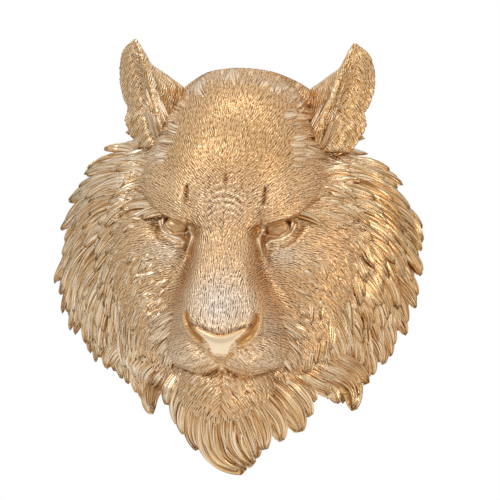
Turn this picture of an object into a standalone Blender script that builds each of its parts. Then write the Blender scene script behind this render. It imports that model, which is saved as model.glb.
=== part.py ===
# Tiger head wall sculpture: one casting, cut flat behind so that it lies against a wall.
#
# Metres, +Z up. The wall is the plane y = 0 and the face looks along -Y. The origin is in the
# middle of the flat back. The form is worked out in millimetres: x across, z up and d the
# depth in front of the wall. The face is the same on both sides, so most of it is a function
# of a = |x|. The mane is laid in tiers of separate locks, different on the two sides.

import math
import random

import bmesh
import bpy
import numpy as np

MM = 0.001

# What sets the size and the fineness of the casting
VOXEL = 2.1               # grid on which the head, ears and locks are melted into one body
MAX_TRIANGLES = 9800      # triangles left in the finished casting
FACE_CARE = 0.00014       # how much longer the face keeps its triangles than the fur does
RIM = 14.0                # depth of the ruff at its edge
RUFF_DEPTH = 108.0        # depth of the ruff in the middle
HANG_HOLE = dict(height=112.0, radius=5.0, depth=16.0, slot=14.0)

GOLD = (0.80, 0.60, 0.33, 1.0)

# Radius of the body under the mane, by the angle from the top in degrees
OUTLINE = [(0, 172), (12, 171), (20, 168), (28, 156), (36, 142), (45, 141), (57, 152), (70, 160), (80, 161),
           (90, 162), (100, 164), (110, 163), (120, 158), (130, 154), (140, 146), (150, 138), (160, 138),
           (170, 150), (180, 160)]

# How much the flank draws in on its way back to the wall, by the same angle
DRAW_IN = [(0, 0.17), (30, 0.13), (60, 0.09), (120, 0.09), (150, 0.26), (180, 0.32)]

# How far the tips of the mane reach, by the same angle, left (-1) and right (1)
REACH = {-1: [(30, 178), (40, 168), (45, 158), (50, 163), (60, 166), (70, 173), (90, 174), (100, 179),
              (112, 181), (122, 176), (132, 172), (140, 165)],
         1: [(30, 172), (40, 170), (45, 158), (50, 155), (60, 162), (70, 166), (90, 170), (100, 165),
             (115, 166), (130, 166), (140, 168)]}

# Height of a point on the nose ridge and its depth, then its half width
RIDGE = [(80, 126), (50, 133), (34, 135), (20, 139), (5, 147), (-15, 160), (-35, 173), (-55, 185), (-64, 189),
         (-72, 190.5), (-80, 189.5), (-86, 186), (-93, 180), (-102, 173), (-110, 164)]
RIDGE_WIDTH = [(80, 34), (34, 23), (10, 21.8), (-5, 22.5), (-20, 24), (-45, 27.5), (-62, 28), (-72, 21),
               (-84, 10), (-110, 6)]

EYE = dict(place=(46.5, 23.8), half=(10.0, 7.6), turn=18.0, depth=110.5)

# Lines of the face, as points (a, z)
BROW_LINE = [(20, 24), (30, 24.6), (37, 26.4), (46, 29.4), (57, 33.2), (62.5, 36.5), (68, 41.5), (73, 47),
             (80, 53), (90, 57)]
NOSE_PAD = [(-54, 31), (-61, 26.5), (-66, 22), (-71, 17.3), (-77, 10.8), (-84, 7.7), (-87, 6.5)]
NOSTRIL = [(31, -54), (30.6, -58), (28.6, -62.5), (24.5, -69.5), (18.3, -74.5)]
NOSE_WING = [(34.4, -40), (35, -54), (34, -63), (30, -71), (24, -77), (17, -80)]
TEAR_LINE = [(37, 26.5), (32.2, 20.5), (30.5, 15), (31.5, 8.5), (34, -0.5)]
LOWER_LID = [(58.5, 30), (55.8, 21.5), (47.5, 16.5), (38, 17.6), (33, 19)]
EYE_FOLD = [(61.5, 28), (58, 20), (50, 15), (41.5, 13.0), (36.8, 9.5), (38.5, 5.5), (44, 5.2)]
FURROW = [(34.5, 46), (35, 53), (35, 59)]
MOUTH = [(3.5, -101), (8, -105.5), (17, -109.5), (28, -106), (41, -100.5), (50, -92.5), (56, -82)]

# An ear, from its root to its tip. Height; then its outer edge, its fold and its inner edge, from
# the middle; then the depths of the outer edge, of the fold, of the inner edge and of the cup.
EAR = [(96, 99, 66, 50, 34, 60, 40, 46), (105, 104, 69, 52, 29, 64, 34, 42), (116, 110.5, 73.5, 54, 25, 65, 28, 38),
       (123.5, 113.3, 75.5, 55, 23, 63, 26, 36), (130, 112, 77.5, 56, 22, 60, 24, 34),
       (135, 110.8, 79.5, 57, 22, 58, 23, 33), (140, 113.5, 81.5, 57.5, 21, 56, 22, 32),
       (149, 117.3, 84, 59, 20, 53, 21, 30), (156, 119, 86.5, 60.5, 20, 51, 21, 30),
       (161, 119.5, 88, 67.7, 21, 50, 24, 31), (168, 119.8, 90.5, 77.5, 23, 49, 29, 33),
       (174, 119.6, 93, 87, 26, 49, 36, 36), (183, 117, 96, 92.8, 32, 48, 42, 41),
       (190, 111.8, 98.8, 97.3, 39, 47, 45, 44), (196, 103.5, 102.5, 102.2, 46, 47, 46.5, 46.5)]

# How steeply the hair falls, in degrees below the horizontal, by the angle from the top
LEAN = [(20, -30), (40, -14), (55, 12), (70, 34), (90, 50), (110, 64), (130, 76), (150, 88), (180, 92)]

# One tier of locks: share of the radius at the roots and at the tips, first and last angle,
# length, width, thickness, lift of the tips, and spacing as a share of the width
TIERS = [(0.85, 1.00, 40, 130, 56, 24, 7.5, 6.0, 0.55),
         (0.73, 0.90, 40, 132, 50, 20, 7.0, 7.0, 0.60),
         (0.61, 0.77, 44, 134, 42, 16, 6.0, 6.0, 0.72),
         (0.51, 0.65, 54, 134, 32, 12, 4.5, 5.0, 0.72)]

# The large locks of the jaw and the beard: root, tip, bow to the side, width, and lift of the tip
BIG_LOCKS = [((-48, -90), (-76, -149), -0.26, 32, 18), ((-60, -88), (-88, -142), -0.22, 28, 18),
             ((-76, -82), (-108, -127), -0.18, 28, 16), ((-38, -100), (-60, -138), -0.16, 28, 14),
             ((-84, -76), (-118, -118), -0.16, 24, 15), ((56, -86), (107, -146), 0.26, 30, 19),
             ((66, -84), (112, -136), 0.22, 26, 18), ((78, -84), (120, -124), 0.16, 26, 17),
             ((54, -98), (88, -130), 0.14, 26, 18), ((38, -100), (76, -130), 0.12, 26, 16),
             ((28, -110), (62, -162), 0.12, 30, 18), ((42, -106), (70, -142), 0.10, 26, 18),
             ((20, -126), (38, -171), 0.10, 26, 14), ((-30, -108), (-44, -148), -0.06, 22, 10),
             ((-30, -120), (-38, -160), -0.04, 22, 10), ((-18, -130), (-26, -175), -0.05, 24, 10),
             ((-8, -130), (-8, -187), -0.08, 28, 10), ((8, -130), (29, -182), 0.08, 30, 12),
             ((2, -138), (17, -200), 0.16, 38, 16), ((-14, -118), (-18, -150), -0.02, 17, 6),
             ((14, -118), (24, -150), 0.02, 17, 6), ((0, -122), (4, -156), 0.0, 18, 6),
             ((-26, -116), (-36, -152), -0.06, 22, 7), ((26, -116), (46, -150), 0.06, 22, 7),
             ((-8, -122), (-14, -162), -0.04, 20, 8), ((10, -122), (20, -164), 0.04, 20, 8)]


def smooth_max(first, second, blend):
    near = np.maximum(blend - np.abs(first - second), 0.0)
    return np.maximum(first, second) + near * near / (4.0 * blend)


def ease(value, start, end):
    share = np.clip((value - start) / (end - start), 0.0, 1.0)
    return share * share * (3.0 - 2.0 * share)


def through(places, points):
    """Read a smooth curve that passes through the given (place, value) points."""
    at, value = np.array(sorted(points), float).T
    slope = np.gradient(value, at)
    i = np.clip(np.searchsorted(at, places) - 1, 0, len(at) - 2)
    gap = at[i + 1] - at[i]
    t = np.clip((places - at[i]) / gap, 0.0, 1.0)
    return ((1 + 2 * t) * (1 - t) ** 2 * value[i] + t * (1 - t) ** 2 * gap * slope[i]
            + t * t * (3 - 2 * t) * value[i + 1] + t * t * (t - 1) * gap * slope[i + 1])


def ball(x, z, centre, radii, power=2.0):
    """Depth of the front of a ball, whose centre is given as (x, depth, z)."""
    inside = 1 - np.abs((x - centre[0]) / radii[0]) ** power - np.abs((z - centre[2]) / radii[2]) ** power
    return centre[1] + radii[1] * np.sign(inside) * np.abs(inside) ** (1 / power)


def swell(x, z, centre, radii, turn=0.0):
    """A soft mound, 1 at its centre."""
    c, s = math.cos(math.radians(turn)), math.sin(math.radians(turn))
    u = (c * (x - centre[0]) + s * (z - centre[1])) / radii[0]
    v = (-s * (x - centre[0]) + c * (z - centre[1])) / radii[1]
    return np.exp(-(u * u + v * v))


def stroke(x, z, points, width, end_width=None):
    """A soft ridge along a line through the points, 1 on the line."""
    end_width = width if end_width is None else end_width
    best = np.zeros(np.shape(x))
    runs = len(points) - 1
    for k, ((x0, z0), (x1, z1)) in enumerate(zip(points[:-1], points[1:])):
        span = (x1 - x0) ** 2 + (z1 - z0) ** 2
        t = np.clip(((x - x0) * (x1 - x0) + (z - z0) * (z1 - z0)) / span, 0, 1)
        away = np.hypot(x - x0 - t * (x1 - x0), z - z0 - t * (z1 - z0))
        wide = width + (end_width - width) * (k + t) / runs
        best = np.maximum(best, np.exp(-(away / wide) ** 2))
    return best


def outline_radius(turn):
    return through(np.abs(turn), OUTLINE)


def ruff(x, z):
    """The low dome that carries the mane, down to the rim at its edge. It is lowest over the crown."""
    turn = np.degrees(np.arctan2(np.abs(x), z))
    share = np.clip(np.hypot(x, z) / outline_radius(turn), 0, 1)
    rise = (RUFF_DEPTH - RIM) * (0.45 + 0.55 * ease(turn, 26, 62))
    return RIM + rise * (1 - share ** 2.4) ** 0.62


def centred(x, z):
    """x from the face's own midline, a little left between the brows and a little right at the nose."""
    lean = (-1.6 + 5.6 * ease(z, -75, -8)) * (1 - 0.6 * ease(z, 70, 140))
    return x + lean * (1 - ease(np.abs(x), 80, 125))


def muzzle(a, z):
    tall = np.where(z > -84, 62.0, 25.0)
    inside = 1 - (a / 56) ** 2.3 - np.abs((z + 84) / tall) ** np.where(z > -84, 2.1, 2.4)
    steep = 0.45 + 0.45 * ease(z, -82, -48)
    return 92 + 84 * np.sign(inside) * np.abs(inside) ** steep


def snout(a, z):
    """The broad flat nose ridge and the planes that fall away beside it."""
    z_in = np.clip(z, -110, 80)
    width = through(z_in, RIDGE_WIDTH)
    past = 0.5 * ((a - width) + np.sqrt((a - width) ** 2 + 30))
    top = through(z_in, RIDGE) - 3.0 * (a / width) ** 2 - 2.1 * past
    return top - 70 * ease(z, 28, 120) - 60 * ease(-z, 86, 112)


def head_form(x, z):
    """The head without its small features: skull, cheeks, jowls, chin, muzzle and nose."""
    a = np.abs(centred(x, z))
    d = ruff(x, z)
    narrow = 1 + 0.0015 * np.maximum(z - 50, 0)
    d = smooth_max(d, ball(a * narrow, z, (0, 16, 44), (91, 117, 130), 2.35), 30)
    d = smooth_max(d, ball(a, z, (60, 50, -14), (50, 62, 68), 2.2), 30)
    d = smooth_max(d, ball(a, z, (54, 50, -74), (52, 62, 46), 2.2), 30)
    d = smooth_max(d, ball(a, z, (0, 48, -130), (72, 88, 66), 2.0), 26)
    d = smooth_max(d, ball(a, z, (0, 103, -121), (42, 63, 37), 2.1), 22)
    d = smooth_max(d, muzzle(a, z), 28)
    return smooth_max(d, snout(a, z), 20)


def eye_place(a, z):
    """Distance from the middle of an eye, 1 at the edge of its ball."""
    turn = math.radians(EYE["turn"])
    c, s = math.cos(turn), math.sin(turn)
    along, up = a - EYE["place"][0], z - EYE["place"][1]
    return np.hypot((c * along + s * up) / EYE["half"][0], (-s * along + c * up) / EYE["half"][1])


def eyes(a, z, d):
    # Sockets, then the balls of the eyes, the lower lids, the folds under them and the tear lines
    d = d - 15 * swell(a, z, (47, 26), (18, 9.5), 14) - 9 * swell(a, z, (33, 14), (7, 17))
    d = d - 4 * swell(a, z, (72, 30), (14, 9), 30)
    away = eye_place(a, z)
    eye_ball = EYE["depth"] + 6.5 * np.sqrt(np.clip(1 - away ** 2, 0, 1)) - 30 * ease(away, 0.99, 1.15)
    d = np.where(away < 1.15, np.maximum(d - 4.0, eye_ball), d)
    d = d + 4.4 * stroke(a, z, LOWER_LID, 1.5, 1.4) + 4.2 * stroke(a, z, EYE_FOLD, 1.9, 1.5)
    d = d - 1.2 * stroke(a, z, [(59, 24), (52, 15.5), (44, 13.8)], 1.6)
    d = d - 3.0 * stroke(a, z, [(66, 25), (60, 13), (50, 7)], 2.4, 2.0)
    return d + 5.0 * stroke(a, z, TEAR_LINE, 3.0, 1.0)


def brow(a, z, d, form):
    """The heavy brows, which stand over the eyes with a sharp lower edge."""
    d = d - 3.5 * stroke(a, z, FURROW, 2.4, 1.6) - 2.5 * stroke(a, z, [(0, 84), (0, 110)], 14)
    d = d - 2.6 * stroke(a, z, [(1, 62), (1, 71)], 2.2, 1.4)
    d = d - 1.6 * stroke(a, z, [(15, 56), (14, 66)], 2.6, 1.6)
    line = through(np.clip(a, 20, 90), BROW_LINE)
    span = ease(a, 24, 40) * (1 - ease(a, 70, 94))
    heavy = 10.5 * span * (1 - ease(z, line + 15, line + 46)) * (0.80 + 0.20 * ease(z, line, line + 9))
    edge = ease(z, line - 2.2, line + 1.6)
    top = form + heavy - 3.5 * stroke(a, z, FURROW, 2.4, 1.6)
    return d * (1 - edge) + np.maximum(d, top) * edge


def nose_and_mouth(a, z, d):
    # Whisker pads, the cleft between them, cheek folds, and the planes beside the nose
    d = d + 9 * swell(a, z, (21, -96), (17, 11), 8) + 4 * swell(a, z, (38, -88), (16, 13), 20)
    d = d - 8 * stroke(a, z, [(0, -92), (0, -103)], 3.2)
    d = d + 3 * stroke(a, z, [(42, 0), (58, 2), (78, 14)], 12)
    d = d - 4.5 * stroke(a, z, [(31, -4), (38, -26), (46, -48)], 9, 8)
    # The smooth nose below the lip of fur
    edge = -69.0 + 8.2 * (np.minimum(a, 34) / 25) ** 1.3
    half = through(np.clip(z, -87, -54), NOSE_PAD)
    pad = ease(edge - z, 0.0, 2.5) * ease(half - a, -1.2, 1.2) * ease(z, -88, -85.5)
    d = d - 2.6 * np.exp(-(((z - edge + 1.2) / 1.8) ** 2)) * (a < 27) + 0.8 * pad
    # Nostrils and their wings, the lines under the nose, the lower lip and the mouth
    d = d - 6.5 * stroke(a, z, NOSTRIL, 1.5, 2.9) + 3.4 * stroke(a, z, NOSE_WING, 2.4, 2.2)
    d = d - 2.8 * stroke(a, z, [(9.5, -86.5), (5.5, -91), (2.5, -95.5)], 1.3, 1.2)
    d = d + 2.5 * swell(a, z, (0, -89.5), (3.6, 2.6)) + 3.0 * swell(a, z, (0, -101), (6.0, 1.8))
    return d - 4.5 * stroke(a, z, MOUTH, 2.0, 2.2)


def head_depth(x, z):
    form = head_form(x, z)
    a = np.abs(centred(x, z))
    return nose_and_mouth(a, z, brow(a, z, eyes(a, z, form), form))


def carrier(x, z):
    """The surface that the locks lie on: the head inside its outline, a low slope outside."""
    far = np.hypot(x, z)
    radius = outline_radius(np.degrees(np.arctan2(np.abs(x), z)))
    pull = np.minimum(1, 0.995 * radius / np.maximum(far, 1e-6))
    return head_form(x * pull, z * pull) - 1.1 * np.maximum(far - radius, 0)


def soften(table, width=5):
    pad = width // 2
    kernel = np.ones(width) / width
    return np.stack([np.convolve(np.pad(row, pad, "edge"), kernel, "valid") for row in table.T], -1)


def lock_line(lock, steps=18):
    """The middle line of a lock, from its root in the fur to its free tip."""
    s = np.linspace(0, 1, steps + 1)
    root, tip = np.array(lock["root"], float), np.array(lock["tip"], float)
    along = tip - root
    middle = (root + tip) / 2 + lock["bow"] * np.array([-along[1], along[0]])
    x, z = (np.outer((1 - s) ** 2, root) + np.outer(2 * s * (1 - s), middle) + np.outer(s * s, tip)).T
    d = np.maximum(soften(carrier(x, z)[:, None])[:, 0], 9.0)
    d += lock["rise"] * s ** 1.3 - lock["sink"] * (1 - s)
    return s, np.stack([x, -d, z], -1)


def lock_surface(lock, t, turn):
    """Points of a lock: t along it and turn round it, 0 to pi on its outside."""
    s, line = lock_line(lock)
    tangent = np.gradient(line, s, axis=0)
    tangent /= np.linalg.norm(tangent, axis=1, keepdims=True)
    x, z, step = line[:, 0], line[:, 2], 3.0
    slope_x = (carrier(x + step, z) - carrier(x - step, z)) / (2 * step)
    slope_z = (carrier(x, z + step) - carrier(x, z - step)) / (2 * step)
    tilt = lock["tilt"]
    normal = np.stack([-np.clip(slope_x, -tilt, tilt), -np.ones_like(x), -np.clip(slope_z, -tilt, tilt)], -1)
    normal = soften(normal - (normal * tangent).sum(1, keepdims=True) * tangent)
    normal /= np.linalg.norm(normal, axis=1, keepdims=True)
    across = np.cross(tangent, normal)
    p, n, b = (np.stack([np.interp(t, s, rows[:, k]) for k in range(3)], -1) for rows in (line, normal, across))
    half = lock["width"] / 2 * t ** 0.42 * (1 - t) ** lock["taper"] / 0.48
    thick = lock["thick"] * t ** 0.4 * (1 - t) ** 0.5 / 0.6
    c, si = np.cos(turn), np.sin(turn)
    strands = 1 - 0.30 * (1 - np.abs(np.sin(np.pi * lock["strands"] * 0.5 * c + lock["phase"]))) ** 1.5
    lift = np.where(si > 0, si * strands, 0.55 * si)
    return p + b * (half * c)[..., None] + n * (thick * lift)[..., None]


def tier_of_locks(side, tier, seed):
    root_share, tip_share, turn, last, length, width, thick, lift, gap = tier
    rng = random.Random(seed)
    locks = []
    while turn < last:
        radius = float(outline_radius(turn)) * (root_share + rng.uniform(-0.025, 0.025))
        wide = width * rng.uniform(0.85, 1.2)
        lean = float(np.interp(turn, *np.array(LEAN, float).T)) + rng.uniform(-8, 8)
        run, at = math.radians(lean + 4), math.radians(turn)
        root = (side * radius * math.sin(at), radius * math.cos(at))
        goal = tip_share * rng.uniform(0.985, 1.02)
        long = 0.62 * length
        tip = root
        # The lock grows until its tip comes to the edge of its tier
        while long < 1.35 * length:
            tip = (root[0] + side * long * math.cos(run), root[1] - long * math.sin(run))
            reach = float(through(math.degrees(math.atan2(abs(tip[0]), tip[1])), REACH[side]))
            if math.hypot(*tip) > reach * goal:
                break
            long += 1.0
        locks.append(dict(root=root, tip=tip, bow=side * rng.uniform(0.07, 0.16), width=wide,
                          thick=thick * rng.uniform(0.85, 1.15), sink=5.0, rise=lift * rng.uniform(0.8, 1.2),
                          tilt=1.6, taper=0.75, strands=rng.choice((3, 4, 5)), phase=rng.uniform(0, 3)))
        turn += math.degrees(gap * wide / radius)
    return locks


def all_locks():
    locks = []
    for side in (-1, 1):
        for k, tier in enumerate(TIERS):
            locks += tier_of_locks(side, tier, 150 + 50 * side + k + 1)
    for root, tip, bow, width, lift in BIG_LOCKS:
        locks.append(dict(root=root, tip=tip, bow=bow, width=width, thick=4 + width * 0.2, sink=5.0, rise=lift,
                          tilt=0.7, taper=0.6, strands=4, phase=0.4))
    return locks


def ear_surface(side, t, turn):
    """Points of an ear: t up it and turn round it from its outer edge, 0 to pi on its front."""
    z = EAR[0][0] + (EAR[-1][0] - EAR[0][0]) * (1 - (1 - t) ** 1.5)
    outer, fold, inner, outer_depth, fold_depth, inner_depth, cup_depth = (
        through(z, [(row[0], row[k]) for row in EAR]) for k in range(1, 8))
    cup = 0.45 * outer + 0.55 * fold
    # Across the ear: the cup, then up to the fold, then back to the head
    w = np.where(turn <= np.pi, turn, 2 * np.pi - turn) / np.pi
    to_cup = np.clip(w / 0.36, 0, 1)
    to_fold, to_head = np.clip((w - 0.36) / 0.32, 0, 1), np.clip((w - 0.68) / 0.32, 0, 1)
    x = outer + (cup - outer) * to_cup + (fold - cup) * to_fold + (inner - fold) * to_head
    d = (outer_depth + (cup_depth - outer_depth) * to_cup ** 2 * (3 - 2 * to_cup)
         + (fold_depth - cup_depth) * to_fold ** 1.5 + (inner_depth - fold_depth) * to_head ** 0.85)
    flank = np.abs(np.sin(turn)) ** 0.5 * np.sign(np.sin(turn))
    d = d + (3.6 + 1.8 * (1 - t)) * flank * (1 - t) ** 0.22
    return np.stack([side * x, -d, z], -1)


def shaped_sphere(name, segments, rings, shape):
    """A ball whose points are moved by shape(t, turn): t from pole to pole, turn round its axis."""
    bm = bmesh.new()
    bmesh.ops.create_uvsphere(bm, u_segments=segments, v_segments=rings, radius=1.0)
    points = np.array([vert.co for vert in bm.verts])
    t = np.arccos(np.clip(points[:, 2], -1, 1)) / np.pi
    turn = np.arctan2(points[:, 1], points[:, 0]) % (2 * np.pi)
    turn[np.hypot(points[:, 0], points[:, 1]) < 1e-6] = 0.0
    for vert, place in zip(bm.verts, shape(t, turn) * MM):
        vert.co = place
    bm.normal_update()
    bmesh.ops.recalc_face_normals(bm, faces=bm.faces)
    mesh = bpy.data.meshes.new(name)
    bm.to_mesh(mesh)
    bm.free()
    return bpy.data.objects.new(name, mesh)


def head_shape(t, turn):
    """The front half is the face out to the rim; the back half draws in and closes behind the wall plane."""
    radius = outline_radius(np.degrees(np.where(turn > np.pi, 2 * np.pi - turn, turn)))
    face = np.clip(2 * t, 0, 1)
    flank = np.clip((t - 0.5) / 0.1, 0, 1)
    back = np.clip((1 - t) / 0.4, 0, 1)
    draw_in = through(np.degrees(np.where(turn > np.pi, 2 * np.pi - turn, turn)), DRAW_IN)
    far = radius * np.sin(face * np.pi / 2) ** 0.9 * (1 - draw_in * flank ** 1.6) * back
    x, z = far * np.sin(turn), far * np.cos(turn)
    d = head_depth(x, z)
    d = np.where(t > 0.5, head_depth(radius * np.sin(turn), radius * np.cos(turn)) * (1 - flank) - 8.0 * flank, d)
    return np.stack([x, -d, z], -1)


def melt(pieces, name):
    """Join the pieces and melt them into one closed skin."""
    base = pieces[0]
    bm = bmesh.new()
    for piece in pieces:
        bm.from_mesh(piece.data)
        if piece is not base:
            bpy.data.objects.remove(piece)
    bm.to_mesh(base.data)
    bm.free()
    base.name = name
    remesh = base.modifiers.new("Melt", "REMESH")
    remesh.mode = "VOXEL"
    remesh.voxel_size = VOXEL * MM
    bpy.context.view_layer.update()
    melted = bpy.data.meshes.new_from_object(base.evaluated_get(bpy.context.evaluated_depsgraph_get()))
    base.modifiers.clear()
    return melted


def islands(bm):
    """The separate bodies of a mesh, as lists of faces, the largest first."""
    left, found = set(bm.faces), []
    while left:
        body, queue = [], [left.pop()]
        while queue:
            face = queue.pop()
            body.append(face)
            for edge in face.edges:
                for other in edge.link_faces:
                    if other in left:
                        left.discard(other)
                        queue.append(other)
        found.append(body)
    return sorted(found, key=len, reverse=True)


def trim(mesh):
    """Keep the one body, ease the steps of the grid and cut the back flat."""
    bm = bmesh.new()
    bm.from_mesh(mesh)
    for body in islands(bm)[1:]:
        bmesh.ops.delete(bm, geom=body, context="FACES")
    bmesh.ops.smooth_vert(bm, verts=bm.verts, factor=0.35, use_axis_x=True, use_axis_y=True, use_axis_z=True)
    cut = bmesh.ops.bisect_plane(bm, geom=bm.verts[:] + bm.edges[:] + bm.faces[:], dist=1e-6,
                                 plane_co=(0, 0, 0), plane_no=(0, 1, 0), clear_outer=True)
    rim = [item for item in cut["geom_cut"] if isinstance(item, bmesh.types.BMEdge)]
    bmesh.ops.holes_fill(bm, edges=rim, sides=0)
    bmesh.ops.triangulate(bm, faces=bm.faces)
    bmesh.ops.recalc_face_normals(bm, faces=bm.faces)
    bm.to_mesh(mesh)
    count = len(bm.faces)
    bm.free()
    return count


def hanging_cutter():
    """A blind hole for a wall screw, with a slot above it, seen from behind."""
    radius, depth = HANG_HOLE["radius"] * MM, HANG_HOLE["depth"] * MM
    bm = bmesh.new()
    bmesh.ops.create_cone(bm, cap_ends=True, segments=24, radius1=radius, radius2=radius, depth=2 * depth)
    for vert in bm.verts:
        vert.co.z, vert.co.y = vert.co.y, vert.co.z
        if vert.co.z > 1e-6:
            vert.co.z += HANG_HOLE["slot"] * MM
    bm.normal_update()
    bmesh.ops.recalc_face_normals(bm, faces=bm.faces)
    mesh = bpy.data.meshes.new("hanging_hole_cutter")
    bm.to_mesh(mesh)
    bm.free()
    cutter = bpy.data.objects.new("hanging_hole_cutter", mesh)
    cutter.location = (0, 0, HANG_HOLE["height"] * MM)
    cutter.hide_render = True
    cutter.display_type = "WIRE"
    return cutter


def gold():
    material = bpy.data.materials.new("gold_lacquer")
    material.use_nodes = True
    shader = material.node_tree.nodes["Principled BSDF"]
    shader.inputs["Base Color"].default_value = GOLD
    shader.inputs["Metallic"].default_value = 0.85
    shader.inputs["Roughness"].default_value = 0.34
    return material


def collection(name):
    made = bpy.data.collections.new(name)
    bpy.context.scene.collection.children.link(made)
    return made


def main():
    for old in list(bpy.data.objects):
        bpy.data.objects.remove(old)
    sculpture, cutters = collection("tiger_head_sculpture"), collection("cutters")

    pieces = [shaped_sphere("tiger_head", 220, 230, head_shape)]
    for side in (-1, 1):
        pieces.append(shaped_sphere("ear", 72, 60, lambda t, turn, side=side: ear_surface(side, 1 - t, turn)))
    for lock in all_locks():
        pieces.append(shaped_sphere("lock", 28, 26, lambda t, turn, lock=lock: lock_surface(lock, t, turn)))

    head = pieces[0]
    sculpture.objects.link(head)
    mesh = melt(pieces, "tiger_head")
    count = trim(mesh)
    rough = head.data
    head.data = mesh
    bpy.data.meshes.remove(rough)
    mesh.name = "tiger_head"
    mesh.shade_smooth()
    mesh.set_sharp_from_angle(angle=math.radians(50))
    mesh.materials.clear()
    mesh.materials.append(gold())

    # The features of the face keep more of their triangles than the fur does
    places = np.array([vert.co for vert in mesh.vertices]) / MM
    a, z = np.abs(places[:, 0]), places[:, 2]
    fine = np.maximum.reduce([swell(a, z, (46, 26), (24, 16), 21), swell(a, z, (18, -76), (30, 34)),
                              0.6 * swell(a, z, (40, 54), (30, 14), 20)]) * (places[:, 1] < -90)
    group = head.vertex_groups.new(name="fur")
    for i, weight in enumerate(1 - 0.5 * fine):
        group.add([i], float(weight), "REPLACE")
    thin = head.modifiers.new("Fewer faces", "DECIMATE")
    thin.vertex_group = group.name
    thin.vertex_group_factor = FACE_CARE
    thin.ratio = MAX_TRIANGLES / count
    thin.use_collapse_triangulate = True
    cutter = hanging_cutter()
    cutters.objects.link(cutter)
    hole = head.modifiers.new("Hanging hole", "BOOLEAN")
    hole.operation = "DIFFERENCE"
    hole.object = cutter
    hole.solver = "EXACT"


main()
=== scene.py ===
import math
import random

import bmesh
import bpy
import numpy as np
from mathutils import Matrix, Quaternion, Vector


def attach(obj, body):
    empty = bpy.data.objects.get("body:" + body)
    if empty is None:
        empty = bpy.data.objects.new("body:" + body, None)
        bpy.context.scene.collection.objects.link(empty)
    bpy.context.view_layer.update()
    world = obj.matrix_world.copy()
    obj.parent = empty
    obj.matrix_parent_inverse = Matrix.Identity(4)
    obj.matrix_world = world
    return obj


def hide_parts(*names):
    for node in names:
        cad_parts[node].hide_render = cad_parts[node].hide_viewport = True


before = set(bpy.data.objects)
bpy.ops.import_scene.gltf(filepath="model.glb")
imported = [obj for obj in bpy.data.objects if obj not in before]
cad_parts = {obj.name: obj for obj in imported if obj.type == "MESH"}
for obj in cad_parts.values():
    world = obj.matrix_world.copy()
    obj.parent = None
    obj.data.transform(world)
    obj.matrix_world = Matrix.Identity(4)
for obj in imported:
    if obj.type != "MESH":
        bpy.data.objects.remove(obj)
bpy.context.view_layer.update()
mm = 0.001
print("Frame loaded")

# The camera stands where the photograph was taken from: a little to the right, level with the nose
cameraSetup = dict(azimuth=6.0, roll=1.7, distance=2.0, target=(0.012, -0.060, 0.004), lens=156.3)


def addObject(name, data):
    made = bpy.data.objects.new(name, data)
    bpy.context.scene.collection.objects.link(made)
    return made


def toMesh(name, bm):
    mesh = bpy.data.meshes.new(name)
    bm.to_mesh(mesh)
    bm.free()
    return mesh


def placeCamera(setup):
    turn = math.radians(setup["azimuth"])
    forward = Vector((-math.sin(turn), math.cos(turn), 0))
    roll = Quaternion((0, 0, 1), math.radians(setup["roll"]))
    camera = addObject("camera", bpy.data.cameras.new("camera"))
    camera.data.lens = setup["lens"]
    camera.location = Vector(setup["target"]) - forward * setup["distance"]
    camera.rotation_mode = "QUATERNION"
    camera.rotation_quaternion = forward.to_track_quat("-Z", "Y") @ roll
    bpy.context.scene.camera = camera


placeCamera(cameraSetup)


# Helpers for forms. Millimetres: x across, z up, d the depth in front of the wall, a = |x|.

def smoothMax(first, second, blend):
    near = np.maximum(blend - np.abs(first - second), 0.0)
    return np.maximum(first, second) + near * near / (4.0 * blend)


def ease(value, start, end):
    share = np.clip((value - start) / (end - start), 0.0, 1.0)
    return share * share * (3.0 - 2.0 * share)


def through(places, points):  # a smooth curve through (place, value) points
    at, value = np.array(sorted(points), float).T
    slope = np.gradient(value, at)
    i = np.clip(np.searchsorted(at, places) - 1, 0, len(at) - 2)
    gap = at[i + 1] - at[i]
    t = np.clip((places - at[i]) / gap, 0.0, 1.0)
    return ((1 + 2 * t) * (1 - t) ** 2 * value[i] + t * (1 - t) ** 2 * gap * slope[i]
            + t * t * (3 - 2 * t) * value[i + 1] + t * t * (t - 1) * gap * slope[i + 1])


def ball(x, z, centre, radii, power):
    inside = 1 - np.abs((x - centre[0]) / radii[0]) ** power - np.abs((z - centre[2]) / radii[2]) ** power
    return centre[1] + radii[1] * np.sign(inside) * np.abs(inside) ** (1 / power)


def swell(x, z, centre, radii, turn=0.0):
    c, s = math.cos(math.radians(turn)), math.sin(math.radians(turn))
    u = (c * (x - centre[0]) + s * (z - centre[1])) / radii[0]
    v = (-s * (x - centre[0]) + c * (z - centre[1])) / radii[1]
    return np.exp(-(u * u + v * v))


def stroke(x, z, points, width, endWidth=None):  # a soft ridge along a line, 1 on the line
    endWidth = width if endWidth is None else endWidth
    best = np.zeros(np.shape(x))
    runs = len(points) - 1
    for k, ((x0, z0), (x1, z1)) in enumerate(zip(points[:-1], points[1:])):
        span = (x1 - x0) ** 2 + (z1 - z0) ** 2
        t = np.clip(((x - x0) * (x1 - x0) + (z - z0) * (z1 - z0)) / span, 0, 1)
        away = np.hypot(x - x0 - t * (x1 - x0), z - z0 - t * (z1 - z0))
        wide = width + (endWidth - width) * (k + t) / runs
        best = np.maximum(best, np.exp(-(away / wide) ** 2))
    return best


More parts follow.
